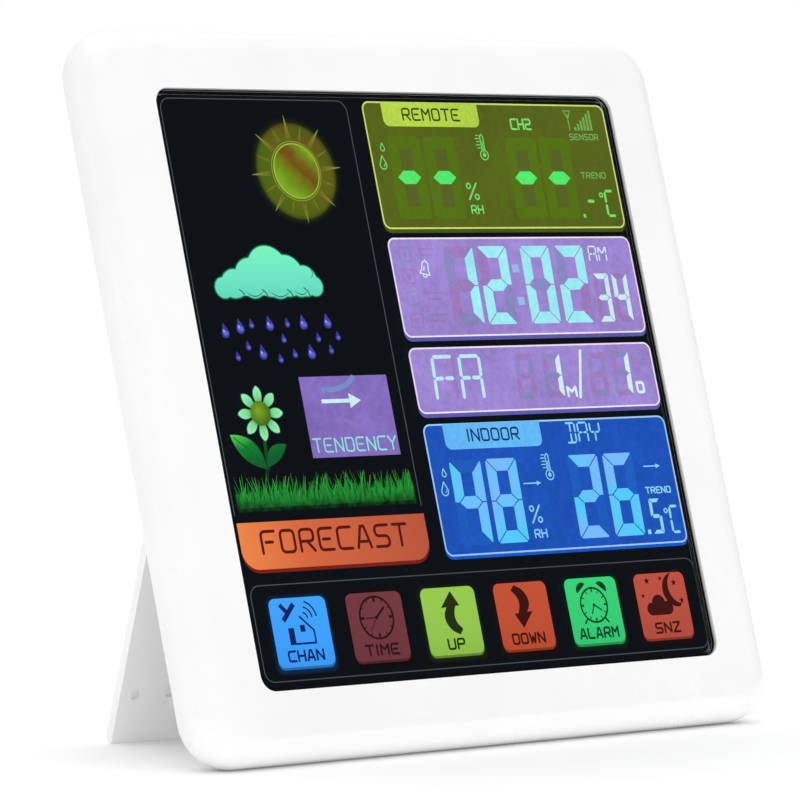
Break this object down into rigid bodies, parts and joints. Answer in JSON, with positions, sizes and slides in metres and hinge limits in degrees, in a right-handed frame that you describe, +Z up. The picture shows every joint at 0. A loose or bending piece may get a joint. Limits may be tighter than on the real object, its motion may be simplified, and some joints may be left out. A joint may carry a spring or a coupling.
{
  "type": "home weather station",
  "caption": "Square tabletop weather station: rounded white housing, dark touch glass with a colour display, sloping back on a fold-out kickstand.",
  "frame": {"origin": "middle of the footprint on the table, between the housing's lower edge and the foot of the open stand", "axes": "+Z up from the table, +X to the viewer's right, -Y towards the viewer, who faces the glass; the housing leans back 16.4 degrees"},
  "size_m": [0.19, 0.0744, 0.1793],
  "materials": {
    "bezel_white": "satin white injection-moulded ABS",
    "cover_white": "fine-textured white ABS",
    "stand_white": "white ABS with a faint mould texture",
    "glass_front": "polished dark glass with a printed back",
    "adhesive_tape": "black foam tape",
    "flex_film": "amber polyimide film",
    "black_plastic": "black moulded plastic",
    "lcd_glass": "liquid crystal cell with polarisers",
    "tinted_film": "printed translucent film",
    "diffuser_white": "frosted polyester sheet",
    "clear_acrylic": "clear acrylic",
    "reflector_white": "white reflective sheet",
    "white_solder_mask": "white solder mask",
    "led_lens": "white lamp with yellow phosphor",
    "tray_grey": "pale grey ABS",
    "screw_steel": "zinc-plated steel",
    "green_board": "green solder mask over glass fibre",
    "chip_epoxy": "moulded epoxy",
    "tinned_metal": "tinned sheet metal",
    "connector_ivory": "ivory nylon",
    "copper_wire": "enamelled copper wire",
    "capacitor_sleeve": "aluminium can",
    "button_grey": "grey ABS",
    "sensor_white": "white sensor cap",
    "cell_sleeve": "plain printed cell sleeve",
    "nickel_plate": "nickel-plated spring steel",
    "wire_red": "red insulation",
    "wire_black": "black insulation",
    "pin_steel": "ground steel pin"
  },
  "bodies": {
    "housing": {"front_bezel": "bezel_white", "rear_cover": "cover_white", "display_glass": "glass_front", "glass_gasket": "adhesive_tape", "touch_film": "flex_film", "key_baffle": "black_plastic", "lcd_panel": "lcd_glass", "lcd_flex": "flex_film", "colour_film": "tinted_film", "diffuser_sheet": "diffuser_white", "light_guide": "clear_acrylic", "reflector_sheet": "reflector_white", "led_board": "white_solder_mask", "backlight_leds": "led_lens", "display_tray": "tray_grey", "tray_screws": "screw_steel", "main_board": "green_board", "board_screws": "screw_steel", "processor_chip": "chip_epoxy", "chip_legs": "tinned_metal", "touch_connector": "connector_ivory", "lcd_connector": "connector_ivory", "radio_board": "green_board", "radio_shield": "tinned_metal", "antenna_coil": "copper_wire", "crystal_can": "tinned_metal", "capacitor": "capacitor_sleeve", "reset_switch": "black_plastic", "dc_jack": "black_plastic", "dc_jack_pin": "tinned_metal", "buzzer": "black_plastic", "sensor_board": "green_board", "humidity_sensor": "sensor_white", "battery_cells": "cell_sleeve", "battery_contacts": "nickel_plate", "battery_springs": "nickel_plate", "battery_wire_red": "wire_red", "battery_wire_black": "wire_black", "case_screws": "screw_steel"},
    "stand": {"stand": "stand_white", "stand_pins": "pin_steel"},
    "door": {"battery_door": "cover_white"},
    "button": {"reset_button": "button_grey"}
  },
  "joints": [
    {"name": "stand_fold", "type": "hinge", "parent": "housing", "child": "stand", "pos_m": [0, 0.01051, 0.08502], "axis": [1, 0, 0], "range_deg": [-33.5, 0]},
    {"name": "door_lift", "type": "slide", "parent": "housing", "child": "door", "axis": [0, 0.9593, -0.2823], "range_m": [0, 0.02]},
    {"name": "reset_press", "type": "slide", "parent": "housing", "child": "button", "axis": [0, -0.9593, 0.2823], "range_m": [0, 0.0005], "stiffness_N_per_m": 400, "springref_m": -0.001}
  ]
}
